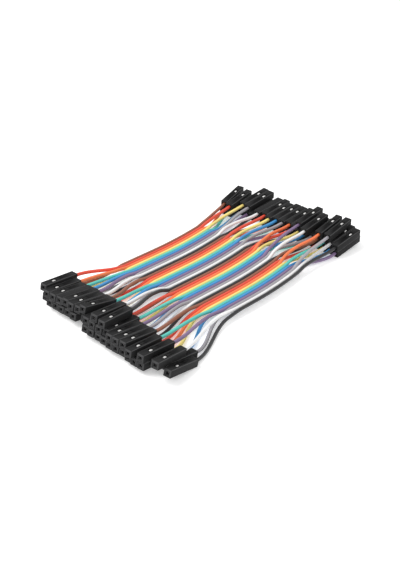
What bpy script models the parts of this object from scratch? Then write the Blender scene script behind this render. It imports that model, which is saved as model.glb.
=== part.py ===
"""Forty-way ribbon of jumper wires with a one-way crimp housing on both ends of every wire.

Axes: X runs along the wires (near end at -X, far end at +X), Y across the ribbon
(wire 1 at the back, +Y), Z up. The ribbon lies on z = 0 and the housings are stacked
in up to three layers at each end, leaning on each other with their noses a little up.
The layout tables are in millimetres; the scene is in metres.
"""
import math

import bmesh
import bpy
from mathutils import Matrix, Vector

MM = 0.001

# ---- housing (one-way, 2.54 mm pitch) --------------------------------------------
HOUSING_LENGTH = 14.0
HOUSING_SIDE = 2.54
LAYER_PITCH = 2.58           # side plus the small gap between neighbours
SOCKET_SIDE = 0.95
SOCKET_DEPTH = 7.0
ENTRY_DIAMETER = 1.5         # round wire entry at the tail
ENTRY_DEPTH = 4.5
WINDOW_CENTRE = 4.7          # behind the nose
WINDOW_LENGTH = 2.0
WINDOW_WIDTH = 1.1
WINDOW_DEPTH = 0.5
CONTACT_PAD = 0.7            # the contact seen in the window
CONTACT_PAD_HEIGHT = 0.3
KEY_LENGTH = 1.0
KEY_WIDTH = 0.9
KEY_BITE = 0.4

# ---- wire ---------------------------------------------------------------------------
WIRE_COUNT = 40
WIRE_PITCH = 1.13
WIRE_RADIUS = 0.545
RIBBON_HEIGHT = 2.3          # height of the wire axis where the ribbon is bonded
RIBBON_MIDDLE_Y = 1.25
SPLIT_NEAR = -12.0           # the insulation is bonded between these two
SPLIT_FAR = 27.0
PEELS_EARLY = {36: -10.0, 37: -9.0, 38: -6.5, 39: -5.5, 40: -4.0}
WIRE_IN_ENTRY = 4.0
STRAIGHT_OUT = 1.0
SHIFT_START = 0.20           # share of the loose length in which a wire only rises or sinks
SPREAD = {1: -0.45, 2: 0.45, 3: 1.1}   # how far a wire leaves the ribbon early, by layer
COLOURS = (
    ("brown", (0.40, 0.15, 0.08)),
    ("red", (0.80, 0.10, 0.06)),
    ("orange", (0.95, 0.22, 0.07)),
    ("yellow", (1.00, 0.81, 0.30)),
    ("green", (0.13, 0.66, 0.60)),
    ("blue", (0.06, 0.30, 0.64)),
    ("violet", (0.25, 0.18, 0.30)),
    ("grey", (0.40, 0.39, 0.43)),
    ("white", (0.92, 0.92, 0.92)),
    ("black", (0.05, 0.05, 0.055)),
)

# ---- layout ---------------------------------------------------------------------------
# One entry per bundle: (pitch in degrees, rows), and one row per housing:
# (wire, layer, nose x, nose y, tail y, lift).
NEAR = (
    (5.5, ((1, 1, -45.3, 24.2, 24.3, 0.0), (2, 2, -46.0, 24.7, 25.4, 0.7),
           (4, 1, -46.8, 20.6, 21.0, 0.0), (3, 2, -47.2, 21.9, 22.3, 0.0))),
    (7.5, ((8, 1, -47.2, 17.7, 18.0, 0.0), (5, 2, -48.0, 18.5, 19.0, 0.2),
           (10, 1, -47.3, 15.1, 15.4, 0.0), (6, 2, -47.7, 15.9, 16.4, 0.2))),
    (8.5, ((12, 1, -47.4, 12.2, 12.7, 0.0), (7, 2, -47.8, 13.3, 13.8, 0.45),
           (13, 1, -47.8, 9.4, 9.9, 0.0), (9, 2, -48.1, 10.7, 11.2, 0.3),
           (11, 2, -47.7, 8.1, 8.6, 0.3))),
    (12.0, ((14, 1, -47.2, 5.3, 6.1, 0.0), (15, 2, -48.5, 5.5, 6.0, 0.7))),
    (8.0, ((17, 1, -49.7, 2.2, 3.2, 0.0), (16, 2, -49.7, 2.4, 3.2, 0.0),
           (21, 1, -50.0, -0.4, 0.4, 0.0), (18, 2, -50.0, -0.4, 0.4, 0.0),
           (19, 3, -50.2, -1.1, 0.3, 0.0))),
    (7.0, ((23, 1, -49.7, -3.2, -2.3, 0.0), (22, 2, -49.9, -3.2, -2.3, 0.0),
           (20, 3, -50.7, -4.8, -3.0, 0.0), (24, 1, -50.0, -5.8, -4.9, 0.0),
           (25, 2, -49.4, -5.8, -4.9, 0.0))),
    (7.5, ((26, 1, -50.5, -8.5, -8.0, 0.0), (27, 2, -51.1, -8.6, -8.0, 0.0),
           (29, 1, -50.5, -11.1, -10.6, 0.0), (28, 2, -51.2, -11.2, -10.6, 0.0),
           (30, 1, -50.3, -13.7, -13.2, 0.0), (31, 2, -50.9, -13.8, -13.2, 0.0))),
    (6.0, ((32, 1, -50.7, -16.3, -15.8, 0.0), (35, 2, -52.5, -17.6, -16.8, 0.0),
           (33, 1, -51.0, -18.9, -18.4, 0.0), (34, 1, -51.0, -21.5, -21.0, 0.0),
           (37, 2, -51.5, -21.4, -20.9, 0.0))),
    (8.5, ((36, 1, -48.5, -24.2, -23.6, 0.0), (38, 1, -46.9, -26.9, -26.2, 0.0),
           (39, 2, -52.7, -27.9, -26.3, 0.0))),
    (12.0, ((40, 1, -49.8, -30.3, -29.0, 0.0),)),
)
FAR = (
    (5.0, ((3, 1, 60.0, 31.8, 28.9, 0.0), (1, 2, 60.5, 31.9, 28.9, 0.0),
           (5, 1, 60.0, 27.7, 26.2, 0.0), (2, 2, 60.3, 27.7, 26.2, 0.0))),
    (7.5, ((6, 1, 64.6, 23.2, 23.6, 0.0), (4, 2, 65.2, 23.2, 23.6, 0.0),
           (7, 1, 64.3, 20.6, 21.0, 0.0), (8, 2, 64.9, 20.5, 21.0, 0.0))),
    (6.0, ((10, 1, 64.3, 18.0, 18.4, 0.0),)),
    (5.0, ((9, 2, 63.6, 15.4, 15.7, 0.0),
           (11, 1, 63.8, 12.8, 13.2, 0.0), (12, 2, 64.4, 12.8, 12.9, 0.0),
           (13, 1, 63.6, 10.2, 10.6, 0.0), (14, 2, 63.2, 10.2, 10.3, 0.0))),
    (5.0, ((15, 1, 63.8, 7.6, 8.0, 0.0), (16, 2, 64.4, 7.6, 7.7, 0.0),
           (17, 1, 63.6, 5.0, 5.4, 0.0), (18, 2, 64.4, 4.9, 5.1, 0.0))),
    (5.0, ((19, 1, 64.2, 2.4, 2.8, 0.0), (23, 2, 65.3, 2.2, 2.4, 0.0),
           (20, 1, 64.6, -0.2, 0.2, 0.0), (22, 2, 64.6, -0.4, -0.2, 0.0))),
    (6.0, ((21, 1, 63.5, -3.0, -2.8, 0.0), (24, 2, 63.2, -3.1, -3.0, 0.0),
           (27, 3, 63.7, -2.4, -2.7, 0.1), (25, 1, 63.3, -5.6, -5.4, 0.0),
           (26, 2, 63.3, -5.7, -5.6, 0.0), (29, 3, 61.3, -6.4, -6.8, 0.1))),
    (6.0, ((30, 1, 64.0, -8.2, -8.0, 0.0), (28, 2, 63.8, -8.3, -8.2, 0.0),
           (32, 1, 64.2, -10.8, -10.6, 0.0), (31, 2, 64.0, -10.9, -10.8, 0.0))),
    (7.5, ((34, 1, 64.2, -13.5, -13.4, 0.0), (35, 2, 64.0, -13.5, -13.4, 0.0),
           (33, 3, 63.1, -11.2, -11.9, 0.3), (36, 1, 64.4, -16.1, -16.0, 0.0),
           (39, 2, 64.5, -16.1, -16.0, 0.0), (38, 3, 63.7, -14.7, -15.3, 0.3))),
    (7.5, ((37, 1, 64.1, -18.7, -18.6, 0.0), (40, 2, 63.7, -18.8, -18.7, 0.0))),
)
CROSSES_OVER_FAR = {9: 0.95, 23: 1.7}   # rise of the wires that cross over others near the far end


def smooth(t):
    t = min(1.0, max(0.0, t))
    return t * t * (3.0 - 2.0 * t)


def bundle_poses(side, pitch, rows):
    """{wire: matrix} in mm. A housing's own X runs from its tail (0) to its nose, Z up.

    Every housing of a bundle turns about the same tilted plane, and the bundle is
    lowered until its lowest corner is on z = 0."""
    tilt = Matrix.Rotation(-side * math.radians(pitch), 4, "Y")
    flat = {}
    for wire, layer, nose_x, nose_y, tail_y, lift in rows:
        yaw = math.asin((nose_y - tail_y) / HOUSING_LENGTH)
        along = HOUSING_LENGTH * math.cos(yaw)
        tail_x = nose_x / math.cos(math.radians(pitch)) - side * along
        heading = yaw if side > 0 else math.pi - yaw
        flat[wire] = (
            Matrix.Translation((tail_x, tail_y, (layer - 0.5) * LAYER_PITCH + lift))
            @ Matrix.Rotation(heading, 4, "Z")
        )
    half = HOUSING_SIDE / 2
    corners = [
        (tilt @ m @ Vector((x, y, z))).z
        for m in flat.values()
        for x in (0.0, HOUSING_LENGTH)
        for y in (-half, half)
        for z in (-half, half)
    ]
    drop = Matrix.Translation((0.0, 0.0, 0.02 - min(corners)))
    return {w: drop @ tilt @ m for w, m in flat.items()}, drop @ tilt, flat


def centre_at(flat, x):
    """Point of a housing's axis at this x of the untilted bundle."""
    tail = flat.translation
    axis = flat.to_3x3() @ Vector((1.0, 0.0, 0.0))
    return tail + axis * ((x - tail.x) / axis.x)


def keys_of(side, rows, flat):
    """Small hidden bridges that make one body of a bundle: (centre, size), untilted."""
    nose = {r[0]: (flat[r[0]] @ Vector((HOUSING_LENGTH, 0, 0))).x * side for r in rows}
    joined, rest, keys = [rows[0][0]], [r[0] for r in rows[1:]], []
    while rest:
        best = None
        for a in joined:
            for b in rest:
                low, high = sorted((nose[a], nose[b]))
                back = max(8.25 - (high - low) / 2, 6.6)
                x = side * (low - back)
                p, q = centre_at(flat[a], x), centre_at(flat[b], x)
                dy, dz = abs(p.y - q.y), abs(p.z - q.z)
                if dz > 1.5:
                    gap = dz - HOUSING_SIDE if dy < 1.9 and dz < 4.2 else 99.0
                    size = (KEY_LENGTH, KEY_WIDTH if dy < 1.2 else 0.5, gap + 2 * KEY_BITE)
                else:
                    gap = dy - HOUSING_SIDE if dz < 1.5 else 99.0
                    size = (KEY_LENGTH, gap + 2 * KEY_BITE, KEY_WIDTH)
                if best is None or gap < best[0]:
                    best = (gap, b, (p + q) / 2, size)
        joined.append(best[1])
        rest.remove(best[1])
        keys.append((best[2], best[3]))
    return keys


POSES = {}
BUNDLES = []
for side, table, end in ((-1, NEAR, "near"), (1, FAR, "far")):
    for number, (pitch, rows) in enumerate(table, 1):
        poses, tilted, flat = bundle_poses(side, pitch, rows)
        for wire, matrix in poses.items():
            POSES[end, wire] = matrix
        BUNDLES.append(
            (f"{end}_housings_{number:02d}", [r[0] for r in rows], end, tilted,
             keys_of(side, rows, flat))
        )
LAYER = {("near", r[0]): r[1] for _, rows in NEAR for r in rows}
LAYER.update({("far", r[0]): r[1] for _, rows in FAR for r in rows})


def ribbon_y(wire):
    return RIBBON_MIDDLE_Y + ((WIRE_COUNT + 1) / 2 - wire) * WIRE_PITCH


def drift(x):
    """How far the bonded ribbon swings towards +Y, and its slope, at x."""
    t = max(0.0, x - 2.0) / 18.0
    return 0.9 * t * t, 0.1 * t


def loose_points(end, wire, shares):
    """Axis points from the split of the ribbon (share 0) to just outside the entry."""
    matrix = POSES[end, wire]
    tail = matrix.translation
    out = -(matrix.to_3x3() @ Vector((1.0, 0.0, 0.0)))
    start = tail + out * STRAIGHT_OUT
    split = SPLIT_FAR if end == "far" else PEELS_EARLY.get(wire, SPLIT_NEAR)
    span = start.x - split
    slope_z = min(3.0, out.z / out.x * span)
    slope_y = out.y / out.x * span * (1.0 - SHIFT_START)
    swing, swing_slope = drift(split)
    y0 = ribbon_y(wire) + swing
    slope0 = swing_slope * span
    part = SPREAD[LAYER[end, wire]]
    if end == "far" and wire in CROSSES_OVER_FAR:
        part = CROSSES_OVER_FAR[wire]
    points = []
    for u in shares:
        z = RIBBON_HEIGHT + (start.z - RIBBON_HEIGHT) * smooth(u) + slope_z * (u ** 3 - u ** 2)
        z += part * smooth(u / 0.25) * (1.0 - smooth((u - 0.45) / 0.55))
        v = max(0.0, (u - SHIFT_START) / (1.0 - SHIFT_START))
        ahead = y0 + slope0 * min(u, SHIFT_START)
        y = ahead + smooth(v) * (start.y - ahead) + (v ** 3 - v ** 2) * slope_y
        y += (v ** 3 - 2 * v ** 2 + v) * slope0 * (1.0 - SHIFT_START)
        points.append(Vector((split + span * u, y, z)))
    points[-1] = start
    return points, tail - out * WIRE_IN_ENTRY


def wire_points(wire):
    shares = (0.0, 0.15, 0.30, 0.47, 0.65, 0.83, 1.0)
    near, near_end = loose_points("near", wire, shares)
    far, far_end = loose_points("far", wire, shares)
    bonded = [
        Vector((x, ribbon_y(wire) + drift(x)[0], RIBBON_HEIGHT)) for x in (4.0, 16.0)
    ]
    return [near_end] + near[::-1] + bonded + far + [far_end]


WIRES = {wire: wire_points(wire) for wire in range(1, WIRE_COUNT + 1)}


def housing_corners(matrix):
    half = HOUSING_SIDE / 2
    return [
        matrix @ Vector((x, y, z))
        for x in (0.0, HOUSING_LENGTH)
        for y in (-half, half)
        for z in (-half, half)
    ]


ALL_CORNERS = [c for m in POSES.values() for c in housing_corners(m)]
SHIFT = Vector((
    -(min(c.x for c in ALL_CORNERS) + max(c.x for c in ALL_CORNERS)) / 2,
    -(min(c.y for c in ALL_CORNERS) + max(c.y for c in ALL_CORNERS)) / 2,
    0.0,
))


def add_box(mesh, matrix, centre, size):
    scale = Matrix.Diagonal((size[0] * MM, size[1] * MM, size[2] * MM, 1.0))
    place = Matrix.Translation(Vector(centre) * MM)
    bmesh.ops.create_cube(mesh, size=1.0, matrix=to_scene(matrix) @ place @ scale)


def add_rod(mesh, matrix, centre, diameter, length):
    place = Matrix.Translation(Vector(centre) * MM) @ Matrix.Rotation(math.pi / 2, 4, "Y")
    bmesh.ops.create_cone(
        mesh, cap_ends=True, segments=8, radius1=diameter / 2 * MM,
        radius2=diameter / 2 * MM, depth=length * MM, matrix=to_scene(matrix) @ place,
    )


def to_scene(matrix):
    """The same placement in metres, with the whole object centred."""
    moved = matrix.copy()
    moved.translation = (matrix.translation + SHIFT) * MM
    return moved


def new_object(name, mesh, collection, material=None):
    bmesh.ops.recalc_face_normals(mesh, faces=mesh.faces)
    data = bpy.data.meshes.new(name)
    mesh.to_mesh(data)
    mesh.free()
    obj = bpy.data.objects.new(name, data)
    collection.objects.link(obj)
    if material:
        data.materials.append(material)
    else:
        obj.hide_render = True
        obj.display_type = "WIRE"
    return obj


def new_material(name, colour, roughness):
    material = bpy.data.materials.new(name)
    material.use_nodes = True
    shader = material.node_tree.nodes["Principled BSDF"]
    shader.inputs["Base Color"].default_value = (*colour, 1.0)
    shader.inputs["Roughness"].default_value = roughness
    return material


def boolean(obj, tool, operation):
    modifier = obj.modifiers.new(operation.title(), "BOOLEAN")
    modifier.operation = operation
    modifier.solver = "EXACT"
    modifier.object = tool


def build_bundle(name, wires, end, tilted, keys, visible, helpers):
    material = new_material(name, (0.02, 0.02, 0.022), 0.45)
    middle = HOUSING_LENGTH / 2
    body, bridge, cut, pad = (bmesh.new() for _ in range(4))
    for wire in wires:
        matrix = POSES[end, wire]
        add_box(body, matrix, (middle, 0, 0), (HOUSING_LENGTH, HOUSING_SIDE, HOUSING_SIDE))
        add_box(cut, matrix, (HOUSING_LENGTH - SOCKET_DEPTH / 2 + 0.5, 0, 0),
                (SOCKET_DEPTH + 1.0, SOCKET_SIDE, SOCKET_SIDE))
        add_rod(cut, matrix, (ENTRY_DEPTH / 2 - 0.5, 0, 0), ENTRY_DIAMETER, ENTRY_DEPTH + 1.0)
        window = HOUSING_LENGTH - WINDOW_CENTRE
        top = HOUSING_SIDE / 2
        add_box(cut, matrix, (window, 0, top), (WINDOW_LENGTH, WINDOW_WIDTH, 2 * WINDOW_DEPTH))
        add_box(pad, matrix, (window, 0, top - WINDOW_DEPTH + CONTACT_PAD_HEIGHT / 2 - 0.05),
                (CONTACT_PAD, CONTACT_PAD, CONTACT_PAD_HEIGHT + 0.1))
    for centre, size in keys:
        add_box(bridge, tilted, centre, size)
    obj = new_object(name, body, visible, material)
    if keys:
        boolean(obj, new_object(name + "_keys", bridge, helpers), "UNION")
    else:
        bridge.free()
    boolean(obj, new_object(name + "_cuts", cut, helpers), "DIFFERENCE")
    boolean(obj, new_object(name + "_pads", pad, helpers), "UNION")


def build_wire(wire, visible):
    colour_name, colour = COLOURS[(wire - 1) % len(COLOURS)]
    name = f"wire_{wire:02d}_{colour_name}"
    curve = bpy.data.curves.new(name, "CURVE")
    curve.dimensions = "3D"
    curve.bevel_depth = WIRE_RADIUS * MM
    curve.bevel_resolution = 2
    curve.use_fill_caps = True
    spline = curve.splines.new("POLY")
    points = WIRES[wire]
    spline.points.add(len(points) - 1)
    for slot, point in zip(spline.points, points):
        slot.co = (*((point + SHIFT) * MM), 1.0)
    curve.materials.append(new_material(name, colour, 0.4))
    visible.objects.link(bpy.data.objects.new(name, curve))


def main():
    for obj in list(bpy.data.objects):
        bpy.data.objects.remove(obj, do_unlink=True)
    visible = bpy.data.collections.new("Ribbon_Jumper_Wires")
    helpers = bpy.data.collections.new("Cutters")
    bpy.context.scene.collection.children.link(visible)
    bpy.context.scene.collection.children.link(helpers)
    for bundle in BUNDLES:
        build_bundle(*bundle, visible, helpers)
    for wire in range(1, WIRE_COUNT + 1):
        build_wire(wire, visible)


main()
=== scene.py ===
"""Looks of the forty-way ribbon of jumper wires: the wires, the housings, the contacts,
their materials, a pale floor, soft light and the camera. Metres, in the frame of the
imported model; the layout tables are in millimetres."""
import math

import bmesh
import bpy
from mathutils import Matrix, Vector


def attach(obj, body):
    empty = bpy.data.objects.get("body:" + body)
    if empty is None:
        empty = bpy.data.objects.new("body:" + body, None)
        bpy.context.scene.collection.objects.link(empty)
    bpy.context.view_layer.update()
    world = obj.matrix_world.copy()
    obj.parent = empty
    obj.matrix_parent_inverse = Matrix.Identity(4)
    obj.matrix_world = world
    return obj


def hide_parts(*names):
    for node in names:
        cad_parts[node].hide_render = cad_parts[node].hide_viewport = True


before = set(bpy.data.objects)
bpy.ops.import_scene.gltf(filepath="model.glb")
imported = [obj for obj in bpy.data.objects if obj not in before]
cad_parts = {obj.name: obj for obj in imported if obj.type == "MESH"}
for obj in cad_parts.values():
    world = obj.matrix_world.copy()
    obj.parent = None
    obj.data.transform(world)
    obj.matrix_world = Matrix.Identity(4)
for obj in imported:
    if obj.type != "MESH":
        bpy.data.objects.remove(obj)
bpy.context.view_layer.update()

MM = 0.001
SHIFT = Vector((-6.3161, -0.7880, 0.0))   # centres the layout in plan

# ---- camera --------------------------------------------------------------------------
CAMERA_AT = Vector((-228.7, -181.3, 166.5))
CAMERA_AIM = Vector((0.0, 0.0, 0.0))
CAMERA_ROLL = math.radians(4.9)
CAMERA_LENS = 65.4

camera_data = bpy.data.cameras.new("camera")
camera_data.lens = CAMERA_LENS
camera_data.sensor_width = 36.0
camera_data.clip_start, camera_data.clip_end = 0.01, 20.0
camera = bpy.data.objects.new("camera", camera_data)
bpy.context.scene.collection.objects.link(camera)
camera.rotation_mode = "QUATERNION"
camera.location = (CAMERA_AT + SHIFT) * MM
look = (CAMERA_AIM - CAMERA_AT).to_track_quat("-Z", "Y").to_matrix()
camera.rotation_quaternion = (look @ Matrix.Rotation(CAMERA_ROLL, 3, "Z")).to_quaternion()
bpy.context.scene.camera = camera

# ---- the routes and the places of the housings, as in the CAD -------------------------
HOUSING_LENGTH = 14.0
HOUSING_SIDE = 2.54
LAYER_PITCH = 2.58
WIRE_COUNT = 40
WIRE_PITCH = 1.13
WIRE_RADIUS = 0.56
RIBBON_HEIGHT = 2.3
RIBBON_MIDDLE_Y = 1.25
SPLIT_NEAR = -12.0
SPLIT_FAR = 27.0
PEELS_EARLY = {36: -10.0, 37: -9.0, 38: -6.5, 39: -5.5, 40: -4.0}
WIRE_IN_ENTRY = 4.0
STRAIGHT_OUT = 1.0
SHIFT_START = 0.20
SPREAD = {1: -0.45, 2: 0.45, 3: 1.1}
COLOUR_NAMES = (
    "brown", "red", "orange", "yellow", "green", "blue", "violet", "grey", "white", "black",
)
NEAR = (
    (5.5, ((1, 1, -45.3, 24.2, 24.3, 0.0), (2, 2, -46.0, 24.7, 25.4, 0.7),
           (4, 1, -46.8, 20.6, 21.0, 0.0), (3, 2, -47.2, 21.9, 22.3, 0.0))),
    (7.5, ((8, 1, -47.2, 17.7, 18.0, 0.0), (5, 2, -48.0, 18.5, 19.0, 0.2),
           (10, 1, -47.3, 15.1, 15.4, 0.0), (6, 2, -47.7, 15.9, 16.4, 0.2))),
    (8.5, ((12, 1, -47.4, 12.2, 12.7, 0.0), (7, 2, -47.8, 13.3, 13.8, 0.45),
           (13, 1, -47.8, 9.4, 9.9, 0.0), (9, 2, -48.1, 10.7, 11.2, 0.3),
           (11, 2, -47.7, 8.1, 8.6, 0.3))),
    (12.0, ((14, 1, -47.2, 5.3, 6.1, 0.0), (15, 2, -48.5, 5.5, 6.0, 0.7))),
    (8.0, ((17, 1, -49.7, 2.2, 3.2, 0.0), (16, 2, -49.7, 2.4, 3.2, 0.0),
           (21, 1, -50.0, -0.4, 0.4, 0.0), (18, 2, -50.0, -0.4, 0.4, 0.0),
           (19, 3, -50.2, -1.1, 0.3, 0.0))),
    (7.0, ((23, 1, -49.7, -3.2, -2.3, 0.0), (22, 2, -49.9, -3.2, -2.3, 0.0),
           (20, 3, -50.7, -4.8, -3.0, 0.0), (24, 1, -50.0, -5.8, -4.9, 0.0),
           (25, 2, -49.4, -5.8, -4.9, 0.0))),
    (7.5, ((26, 1, -50.5, -8.5, -8.0, 0.0), (27, 2, -51.1, -8.6, -8.0, 0.0),
           (29, 1, -50.5, -11.1, -10.6, 0.0), (28, 2, -51.2, -11.2, -10.6, 0.0),
           (30, 1, -50.3, -13.7, -13.2, 0.0), (31, 2, -50.9, -13.8, -13.2, 0.0))),
    (6.0, ((32, 1, -50.7, -16.3, -15.8, 0.0), (35, 2, -52.5, -17.6, -16.8, 0.0),
           (33, 1, -51.0, -18.9, -18.4, 0.0), (34, 1, -51.0, -21.5, -21.0, 0.0),
           (37, 2, -51.5, -21.4, -20.9, 0.0))),
    (8.5, ((36, 1, -48.5, -24.2, -23.6, 0.0), (38, 1, -46.9, -26.9, -26.2, 0.0),
           (39, 2, -52.7, -27.9, -26.3, 0.0))),
    (12.0, ((40, 1, -49.8, -30.3, -29.0, 0.0),)),
)
FAR = (
    (5.0, ((3, 1, 60.0, 31.8, 28.9, 0.0), (1, 2, 60.5, 31.9, 28.9, 0.0),
           (5, 1, 60.0, 27.7, 26.2, 0.0), (2, 2, 60.3, 27.7, 26.2, 0.0))),
    (7.5, ((6, 1, 64.6, 23.2, 23.6, 0.0), (4, 2, 65.2, 23.2, 23.6, 0.0),
           (7, 1, 64.3, 20.6, 21.0, 0.0), (8, 2, 64.9, 20.5, 21.0, 0.0))),
    (6.0, ((10, 1, 64.3, 18.0, 18.4, 0.0),)),
    (5.0, ((9, 2, 63.6, 15.4, 15.7, 0.0),
           (11, 1, 63.8, 12.8, 13.2, 0.0), (12, 2, 64.4, 12.8, 12.9, 0.0),
           (13, 1, 63.6, 10.2, 10.6, 0.0), (14, 2, 63.2, 10.2, 10.3, 0.0))),
    (5.0, ((15, 1, 63.8, 7.6, 8.0, 0.0), (16, 2, 64.4, 7.6, 7.7, 0.0),
           (17, 1, 63.6, 5.0, 5.4, 0.0), (18, 2, 64.4, 4.9, 5.1, 0.0))),
    (5.0, ((19, 1, 64.2, 2.4, 2.8, 0.0), (23, 2, 65.3, 2.2, 2.4, 0.0),
           (20, 1, 64.6, -0.2, 0.2, 0.0), (22, 2, 64.6, -0.4, -0.2, 0.0))),
    (6.0, ((21, 1, 63.5, -3.0, -2.8, 0.0), (24, 2, 63.2, -3.1, -3.0, 0.0),
           (27, 3, 63.7, -2.4, -2.7, 0.1), (25, 1, 63.3, -5.6, -5.4, 0.0),
           (26, 2, 63.3, -5.7, -5.6, 0.0), (29, 3, 61.3, -6.4, -6.8, 0.1))),
    (6.0, ((30, 1, 64.0, -8.2, -8.0, 0.0), (28, 2, 63.8, -8.3, -8.2, 0.0),
           (32, 1, 64.2, -10.8, -10.6, 0.0), (31, 2, 64.0, -10.9, -10.8, 0.0))),
    (7.5, ((34, 1, 64.2, -13.5, -13.4, 0.0), (35, 2, 64.0, -13.5, -13.4, 0.0),
           (33, 3, 63.1, -11.2, -11.9, 0.3), (36, 1, 64.4, -16.1, -16.0, 0.0),
           (39, 2, 64.5, -16.1, -16.0, 0.0), (38, 3, 63.7, -14.7, -15.3, 0.3))),
    (7.5, ((37, 1, 64.1, -18.7, -18.6, 0.0), (40, 2, 63.7, -18.8, -18.7, 0.0))),
)
CROSSES_OVER_FAR = {9: 0.95, 23: 1.7}


def smooth(t):
    t = min(1.0, max(0.0, t))
    return t * t * (3.0 - 2.0 * t)


def bundle_poses(side, pitch, rows):
    tilt = Matrix.Rotation(-side * math.radians(pitch), 4, "Y")
    flat = {}
    for wire, layer, nose_x, nose_y, tail_y, lift in rows:
        yaw = math.asin((nose_y - tail_y) / HOUSING_LENGTH)
        along = HOUSING_LENGTH * math.cos(yaw)
        tail_x = nose_x / math.cos(math.radians(pitch)) - side * along
        heading = yaw if side > 0 else math.pi - yaw
        flat[wire] = (
            Matrix.Translation((tail_x, tail_y, (layer - 0.5) * LAYER_PITCH + lift))
            @ Matrix.Rotation(heading, 4, "Z")
        )
    half = HOUSING_SIDE / 2
    lowest = min(
        (tilt @ m @ Vector((x, y, z))).z
        for m in flat.values()
        for x in (0.0, HOUSING_LENGTH)
        for y in (-half, half)
        for z in (-half, half)
    )
    drop = Matrix.Translation((0.0, 0.0, 0.02 - lowest))
    return {w: drop @ tilt @ m for w, m in flat.items()}


POSES, LAYER, BUNDLE = {}, {}, {}
for side, layout, end in ((-1, NEAR, "near"), (1, FAR, "far")):
    for number, (pitch, rows) in enumerate(layout, 1):
        for wire, matrix in bundle_poses(side, pitch, rows).items():
            POSES[end, wire] = matrix
            BUNDLE[end, wire] = f"{end}_housings_{number:02d}"
        for row in rows:
            LAYER[end, row[0]] = row[1]


def ribbon_y(wire):
    return RIBBON_MIDDLE_Y + ((WIRE_COUNT + 1) / 2 - wire) * WIRE_PITCH


def drift(x):
    """How far the bonded ribbon swings towards +Y, and its slope, at x."""
    t = max(0.0, x - 2.0) / 18.0
    return 0.9 * t * t, 0.1 * t


def loose_points(end, wire, shares):
    """Axis points from the split of the ribbon (share 0) to just outside the entry."""
    matrix = POSES[end, wire]
    tail = matrix.translation
    out = -(matrix.to_3x3() @ Vector((1.0, 0.0, 0.0)))
    start = tail + out * STRAIGHT_OUT
    split = SPLIT_FAR if end == "far" else PEELS_EARLY.get(wire, SPLIT_NEAR)
    span = start.x - split
    slope_z = min(3.0, out.z / out.x * span)
    slope_y = out.y / out.x * span * (1.0 - SHIFT_START)
    swing, swing_slope = drift(split)
    y0 = ribbon_y(wire) + swing
    slope0 = swing_slope * span
    part = SPREAD[LAYER[end, wire]]
    if end == "far" and wire in CROSSES_OVER_FAR:
        part = CROSSES_OVER_FAR[wire]
    points = []
    for u in shares:
        z = RIBBON_HEIGHT + (start.z - RIBBON_HEIGHT) * smooth(u) + slope_z * (u ** 3 - u ** 2)
        z += part * smooth(u / 0.25) * (1.0 - smooth((u - 0.45) / 0.55))
        v = max(0.0, (u - SHIFT_START) / (1.0 - SHIFT_START))
        ahead = y0 + slope0 * min(u, SHIFT_START)
        y = ahead + smooth(v) * (start.y - ahead) + (v ** 3 - v ** 2) * slope_y
        y += (v ** 3 - 2 * v ** 2 + v) * slope0 * (1.0 - SHIFT_START)
        points.append(Vector((split + span * u, y, z)))
    points[-1] = start
    return points, tail - out * WIRE_IN_ENTRY, tail


def wire_points(wire):
    shares = [i / 22 for i in range(23)]
    near, near_end, near_tail = loose_points("near", wire, shares)
    far, far_end, far_tail = loose_points("far", wire, shares)
    bonded = []
    first, last = near[0].x, far[0].x
    for i in range(1, 14):
        x = first + (last - first) * i / 14
        bonded.append(Vector((x, ribbon_y(wire) + drift(x)[0], RIBBON_HEIGHT)))
    return [near_end, near_tail] + near[::-1] + bonded + far + [far_tail, far_end]


# ---- materials -------------------------------------------------------------------------
def new_material(name):
    material = bpy.data.materials.new(name)
    material.use_nodes = True
    tree = material.node_tree
    return material, tree, tree.nodes["Principled BSDF"]


def add(tree, kind, **values):
    node = tree.nodes.new(kind)
    for key, value in values.items():
        if key in node.inputs:
            node.inputs[key].default_value = value
        else:
            setattr(node, key, value)
    return node


def ramp(tree, source, stops):
    node = tree.nodes.new("ShaderNodeValToRGB")
    elements = node.color_ramp.elements
    while len(elements) < len(stops):
        elements.new(0.5)
    for element, (position, colour) in zip(elements, stops):
        element.position = position
        element.color = (*colour, 1.0)
    tree.links.new(source, node.inputs["Fac"])
    return node


def grain(tree, shader, coordinates, scale, strength, distance):
    noise = add(tree, "ShaderNodeTexNoise", Scale=scale, Detail=4.0, Roughness=0.6)
    tree.links.new(coordinates, noise.inputs["Vector"])
    bump = add(tree, "ShaderNodeBump", Strength=strength, Distance=distance)
    tree.links.new(noise.outputs["Fac"], bump.inputs["Height"])
    tree.links.new(bump.outputs["Normal"], shader.inputs["Normal"])
    return noise


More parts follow.
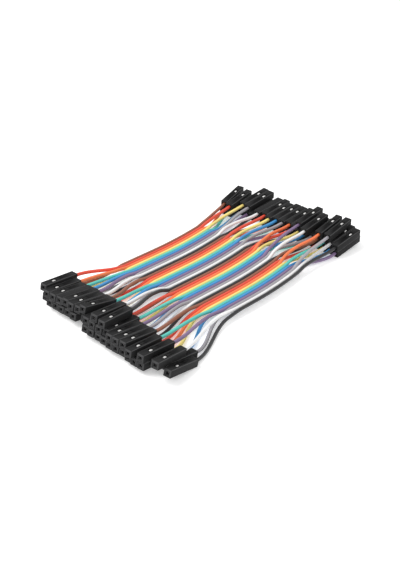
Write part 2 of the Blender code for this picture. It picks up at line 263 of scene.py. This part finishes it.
def housing_plastic(name, low, high, edge_highlight):
    """Black glass-filled plastic: low and high are its mottled tone; the third argument is the
    grey of a painted highlight on its convex corners.
    """
    material, tree, shader = new_material(name)
    place = add(tree, "ShaderNodeTexCoord").outputs["Object"]
    cloud = add(tree, "ShaderNodeTexNoise", Scale=420.0, Detail=5.0, Roughness=0.65)
    tree.links.new(place, cloud.inputs["Vector"])
    tone = ramp(tree, cloud.outputs["Fac"],
                ((0.30, (low, low, low * 1.03)), (0.75, (high, high, high * 1.03))))
    # Painted highlight: convex edges, found by pointiness, are lightened towards the third
    # argument's grey.
    edge = add(tree, "ShaderNodeNewGeometry")
    edge_highlight_mask = ramp(tree, edge.outputs["Pointiness"],
                ((0.50, (0.0, 0.0, 0.0)), (0.58, (1.0, 1.0, 1.0))))
    mix = add(tree, "ShaderNodeMix", data_type="RGBA")
    mix.inputs["B"].default_value = (edge_highlight, edge_highlight, edge_highlight * 1.02, 1.0)
    tree.links.new(edge_highlight_mask.outputs["Color"], mix.inputs["Factor"])
    tree.links.new(tone.outputs["Color"], mix.inputs["A"])
    tree.links.new(mix.outputs["Result"], shader.inputs["Base Color"])
    rough = add(tree, "ShaderNodeMapRange")
    rough.inputs["To Min"].default_value = 0.40
    rough.inputs["To Max"].default_value = 0.58
    tree.links.new(cloud.outputs["Fac"], rough.inputs["Value"])
    tree.links.new(rough.outputs["Result"], shader.inputs["Roughness"])
    shader.inputs["Specular IOR Level"].default_value = 0.03
    grain(tree, shader, place, 5200.0, 0.25, 0.00002)
    return material


def insulation(name, colour, roughness=0.42):
    """Extruded PVC: a little mottled, with faint draw lines along the wire."""
    material, tree, shader = new_material("insulation_" + name)
    place = add(tree, "ShaderNodeTexCoord").outputs["Object"]
    stretch = add(tree, "ShaderNodeMapping")
    stretch.inputs["Scale"].default_value = (0.12, 1.0, 1.0)
    tree.links.new(place, stretch.inputs["Vector"])
    cloud = add(tree, "ShaderNodeTexNoise", Scale=700.0, Detail=4.0, Roughness=0.6)
    tree.links.new(stretch.outputs["Vector"], cloud.inputs["Vector"])
    dark = tuple(c * 0.90 for c in colour)
    light = tuple(min(1.0, c * 1.06 + 0.002) for c in colour)
    tone = ramp(tree, cloud.outputs["Fac"], ((0.32, dark), (0.70, light)))
    tree.links.new(tone.outputs["Color"], shader.inputs["Base Color"])
    rough = add(tree, "ShaderNodeMapRange")
    rough.inputs["To Min"].default_value = roughness - 0.06
    rough.inputs["To Max"].default_value = roughness + 0.10
    tree.links.new(cloud.outputs["Fac"], rough.inputs["Value"])
    tree.links.new(rough.outputs["Result"], shader.inputs["Roughness"])
    lines = add(tree, "ShaderNodeTexNoise", Scale=5200.0, Detail=3.0, Roughness=0.5)
    tree.links.new(stretch.outputs["Vector"], lines.inputs["Vector"])
    bump = add(tree, "ShaderNodeBump", Strength=0.18, Distance=0.00002)
    tree.links.new(lines.outputs["Fac"], bump.inputs["Height"])
    tree.links.new(bump.outputs["Normal"], shader.inputs["Normal"])
    shader.inputs["IOR"].default_value = 1.50
    return material


def contact_metal():
    material, tree, shader = new_material("tinned_contact")
    place = add(tree, "ShaderNodeTexCoord").outputs["Object"]
    cloud = add(tree, "ShaderNodeTexNoise", Scale=1600.0, Detail=3.0, Roughness=0.5)
    tree.links.new(place, cloud.inputs["Vector"])
    tone = ramp(tree, cloud.outputs["Fac"],
                ((0.3, (0.92, 0.91, 0.89)), (0.7, (1.0, 0.99, 0.97))))
    tree.links.new(tone.outputs["Color"], shader.inputs["Base Color"])
    shader.inputs["Metallic"].default_value = 1.0
    shader.inputs["Roughness"].default_value = 0.42
    grain(tree, shader, place, 6000.0, 0.1, 0.00001)
    return material


COLOURS = {
    "brown": (0.300, 0.110, 0.065),
    "red": (0.760, 0.082, 0.045),
    "orange": (0.930, 0.205, 0.070),
    "yellow": (0.960, 0.760, 0.230),
    "green": (0.110, 0.600, 0.510),
    "blue": (0.055, 0.300, 0.640),
    "violet": (0.235, 0.160, 0.290),
    "grey": (0.370, 0.355, 0.380),
    "white": (0.880, 0.880, 0.880),
    "black": (0.026, 0.026, 0.028),
}
PLASTIC = housing_plastic("moulded_black_plastic", 0.0058, 0.0108, 0.026)
# Painted highlight: a lighter copy of the black plastic for the rounded corner faces of the
# housings.
PAINTED_EDGE_HIGHLIGHT = housing_plastic("painted_edge_highlight_of_black_plastic", 0.045, 0.070, 0.08)
# Painted light: the nose end faces get a lighter copy of the black plastic, standing for the
# light these faces catch.
PAINTED_LIGHT_NOSE = housing_plastic("nose_of_black_plastic_painted_lighter", 0.028, 0.043, 0.06)
METAL = contact_metal()
PVC = {name: insulation(name, colour) for name, colour in COLOURS.items()}


# ---- wires: each is one free cord from its near contact to its far one ------------------
def build_wire(wire):
    colour = COLOUR_NAMES[(wire - 1) % 10]
    name = f"insulated_wire_{wire:02d}_{colour}"
    points = [(p + SHIFT) * MM for p in wire_points(wire)]
    curve = bpy.data.curves.new(name, "CURVE")
    curve.dimensions = "3D"
    curve.bevel_depth = WIRE_RADIUS * MM
    curve.bevel_resolution = 6
    curve.use_fill_caps = True
    spline = curve.splines.new("POLY")
    spline.points.add(len(points) - 1)
    for slot, point in zip(spline.points, points):
        slot.co = (*point, 1.0)
    spline.use_smooth = True
    curve.materials.append(PVC[colour])
    obj = bpy.data.objects.new(name, curve)
    bpy.context.scene.collection.objects.link(obj)
    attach(obj, "root")
    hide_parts(f"wire_{wire:02d}_{colour}")


for number in range(1, WIRE_COUNT + 1):
    build_wire(number)


# ---- housings ----------------------------------------------------------------------------
def rounded_square(half, radius, steps=3):
    """Corner points (y, z) of a square with rounded corners, anticlockwise."""
    points = []
    for corner in range(4):
        middle = corner * math.pi / 2 + math.pi / 4
        cy = math.copysign(half - radius, math.cos(middle))
        cz = math.copysign(half - radius, math.sin(middle))
        for i in range(steps + 1):
            angle = corner * math.pi / 2 + i / steps * math.pi / 2
            points.append((cy + radius * math.cos(angle), cz + radius * math.sin(angle)))
    return points


def loft(mesh, rings):
    """A closed skin through rings of (x, [(y, z), ...]), with both ends capped."""
    rows = [[mesh.verts.new((x, y, z)) for y, z in ring] for x, ring in rings]
    count = len(rows[0])
    for a, b in zip(rows, rows[1:]):
        for i in range(count):
            j = (i + 1) % count
            mesh.faces.new((a[i], a[j], b[j], b[i]))
    mesh.faces.new(rows[0][::-1])
    mesh.faces.new(rows[-1])


def box(mesh, low, high):
    middle = (Vector(low) + Vector(high)) / 2
    size = Vector(high) - Vector(low)
    bmesh.ops.create_cube(
        mesh, size=1.0,
        matrix=Matrix.Translation(middle) @ Matrix.Diagonal((*size, 1.0)),
    )


def temporary(name, mesh):
    bmesh.ops.recalc_face_normals(mesh, faces=mesh.faces)
    data = bpy.data.meshes.new(name)
    mesh.to_mesh(data)
    mesh.free()
    obj = bpy.data.objects.new(name, data)
    bpy.context.scene.collection.objects.link(obj)
    return obj


def housing_mesh():
    """One housing in millimetres: tail at x = 0, nose at x = 14, window on top."""
    half = HOUSING_SIDE / 2
    body = bmesh.new()
    profile = ((0.0, 0.15), (0.05, 0.05), (0.16, 0.0), (13.42, 0.0),
               (13.70, 0.05), (13.88, 0.16), (13.97, 0.30), (14.0, 0.42))
    loft(body, [(x, rounded_square(half - inset, 0.16)) for x, inset in profile])
    solid = temporary("housing_solid", body)
    cutters = []

    mouth = bmesh.new()
    loft(mouth, [(x, rounded_square(h, 0.03, 1))
                 for x, h in ((12.0, 0.475), (13.45, 0.475), (14.0, 0.70), (14.4, 0.86))])
    cutters.append(mouth)
    cavity = bmesh.new()
    box(cavity, (4.8, -0.80, -0.80), (12.9, 0.80, 0.80))
    cutters.append(cavity)
    entry = bmesh.new()
    bmesh.ops.create_cone(
        entry, cap_ends=True, segments=32, radius1=0.92, radius2=0.76, depth=5.6,
        matrix=Matrix.Translation((2.3, 0, 0)) @ Matrix.Rotation(math.pi / 2, 4, "Y"),
    )
    cutters.append(entry)
    window = bmesh.new()
    box(window, (8.35, -0.56, 0.4), (10.30, 0.56, 1.6))
    cutters.append(window)
    for sign in (-1, 1):
        groove = bmesh.new()
        box(groove, (5.7, min(sign * 0.40, sign * 0.56), 0.85),
            (8.5, max(sign * 0.40, sign * 0.56), 1.6))
        cutters.append(groove)
    tools = []
    for i, cutter in enumerate(cutters):
        tool = temporary(f"housing_cut_{i}", cutter)
        tools.append(tool)
        modifier = solid.modifiers.new(tool.name, "BOOLEAN")
        modifier.operation = "DIFFERENCE"
        modifier.solver = "EXACT"
        modifier.object = tool
    graph = bpy.context.evaluated_depsgraph_get()
    made = bpy.data.meshes.new_from_object(solid.evaluated_get(graph))
    made.name = "housing"
    made.transform(Matrix.Scale(MM, 4))
    for obj in [solid, *tools]:
        bpy.data.objects.remove(obj, do_unlink=True)
    made.shade_smooth()
    made.set_sharp_from_angle(angle=math.radians(35))
    made.materials.clear()
    for material in (PLASTIC, PAINTED_EDGE_HIGHLIGHT, PAINTED_LIGHT_NOSE):
        made.materials.append(material)
    # The nose end faces get the nose material, painted lighter for the light they catch.
    # The rounded corner faces get the painted edge highlight material.
    for face in made.polygons:
        x, y, z = (c / MM for c in face.center)
        outside = max(abs(y), abs(z))
        if x > 13.3 and face.normal.x > 0.2 and outside > 0.45:
            face.material_index = 2
        elif min(abs(y), abs(z)) > 1.0 and min(abs(face.normal.y), abs(face.normal.z)) > 0.15:
            face.material_index = 1
        else:
            face.material_index = 0
    return made


def contact_mesh():
    """The crimp contact in millimetres, in the housing's own axes."""
    mesh = bmesh.new()
    outer, inner = 0.70, 0.46
    section = [(-outer, -outer), (outer, -outer), (outer, outer), (-outer, outer)]
    hole = [(y * inner / outer, z * inner / outer) for y, z in section]
    rows = [[mesh.verts.new((x, y, z)) for y, z in ring]
            for x, ring in ((8.4, section), (12.75, section), (12.75, hole), (9.0, hole))]
    for a, b in zip(rows, rows[1:]):
        for i in range(4):
            j = (i + 1) % 4
            mesh.faces.new((a[i], a[j], b[j], b[i]))
    mesh.faces.new(rows[0][::-1])
    mesh.faces.new(rows[-1])
    bmesh.ops.create_uvsphere(
        mesh, u_segments=20, v_segments=12, radius=1.0,
        matrix=Matrix.Translation((9.33, 0.0, 0.68)) @ Matrix.Diagonal((0.94, 0.53, 0.55, 1.0)),
    )
    bmesh.ops.create_cone(
        mesh, cap_ends=True, segments=20, radius1=0.66, radius2=0.60, depth=4.6,
        matrix=Matrix.Translation((6.3, 0, 0)) @ Matrix.Rotation(math.pi / 2, 4, "Y"),
    )
    bmesh.ops.recalc_face_normals(mesh, faces=mesh.faces)
    data = bpy.data.meshes.new("contact")
    mesh.to_mesh(data)
    mesh.free()
    data.transform(Matrix.Scale(MM, 4))
    data.shade_smooth()
    data.set_sharp_from_angle(angle=math.radians(40))
    data.materials.append(METAL)
    return data


HOUSING = housing_mesh()
CONTACT = contact_mesh()
# two housings lie on their backs, so that their windows face down
TURNED_OVER = {("near", 6), ("far", 9)}
for (end, number), pose in POSES.items():
    place = pose.copy()
    if (end, number) in TURNED_OVER:
        place = place @ Matrix.Rotation(math.pi, 4, "X")
    place.translation = (pose.translation + SHIFT) * MM
    for kind, data in (("housing", HOUSING), ("contact", CONTACT)):
        obj = bpy.data.objects.new(f"{kind}_{end}_{number:02d}", data)
        bpy.context.scene.collection.objects.link(obj)
        obj.matrix_world = place
        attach(obj, "root")
        if kind == "housing":
            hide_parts(BUNDLE[end, number])

# ---- floor, light, background --------------------------------------------------------------
floor_mesh = bmesh.new()
bmesh.ops.create_grid(floor_mesh, x_segments=1, y_segments=1, size=3.0)
floor = temporary("floor", floor_mesh)
floor.location.z = -0.00001
floor_material, floor_tree, floor_shader = new_material("pale_floor_with_painted_glow")
floor_shader.inputs["Base Color"].default_value = (0.93, 0.93, 0.93, 1.0)
floor_shader.inputs["Roughness"].default_value = 0.9
floor_shader.inputs["Specular IOR Level"].default_value = 0.1
# Painted light: the floor glows faintly, which lifts the shadows cast on it and adds a little
# bounce light.
floor_shader.inputs["Emission Color"].default_value = (1.0, 1.0, 1.0, 1.0)
floor_shader.inputs["Emission Strength"].default_value = 0.32
floor.data.materials.append(floor_material)


def area_light(name, location, size, power, aim=(0.0, 0.0, 0.0)):
    data = bpy.data.lights.new(name, "AREA")
    data.shape = "DISK"
    data.size = size
    data.energy = power
    lamp = bpy.data.objects.new(name, data)
    lamp.location = location
    lamp.rotation_mode = "QUATERNION"
    lamp.rotation_quaternion = (Vector(aim) - Vector(location)).to_track_quat("-Z", "Y")
    bpy.context.scene.collection.objects.link(lamp)
    return lamp


area_light("key", (-0.45, 0.40, 0.75), 0.60, 5.6)
area_light("fill", (-0.65, -0.35, 0.55), 0.6, 1.6)

world = bpy.data.worlds.new("soft_white")
world.use_nodes = True
world.node_tree.nodes["Background"].inputs["Color"].default_value = (1.0, 1.0, 1.0, 1.0)
world.node_tree.nodes["Background"].inputs["Strength"].default_value = 0.70
bpy.context.scene.world = world
bpy.context.scene.view_settings.view_transform = "Standard"
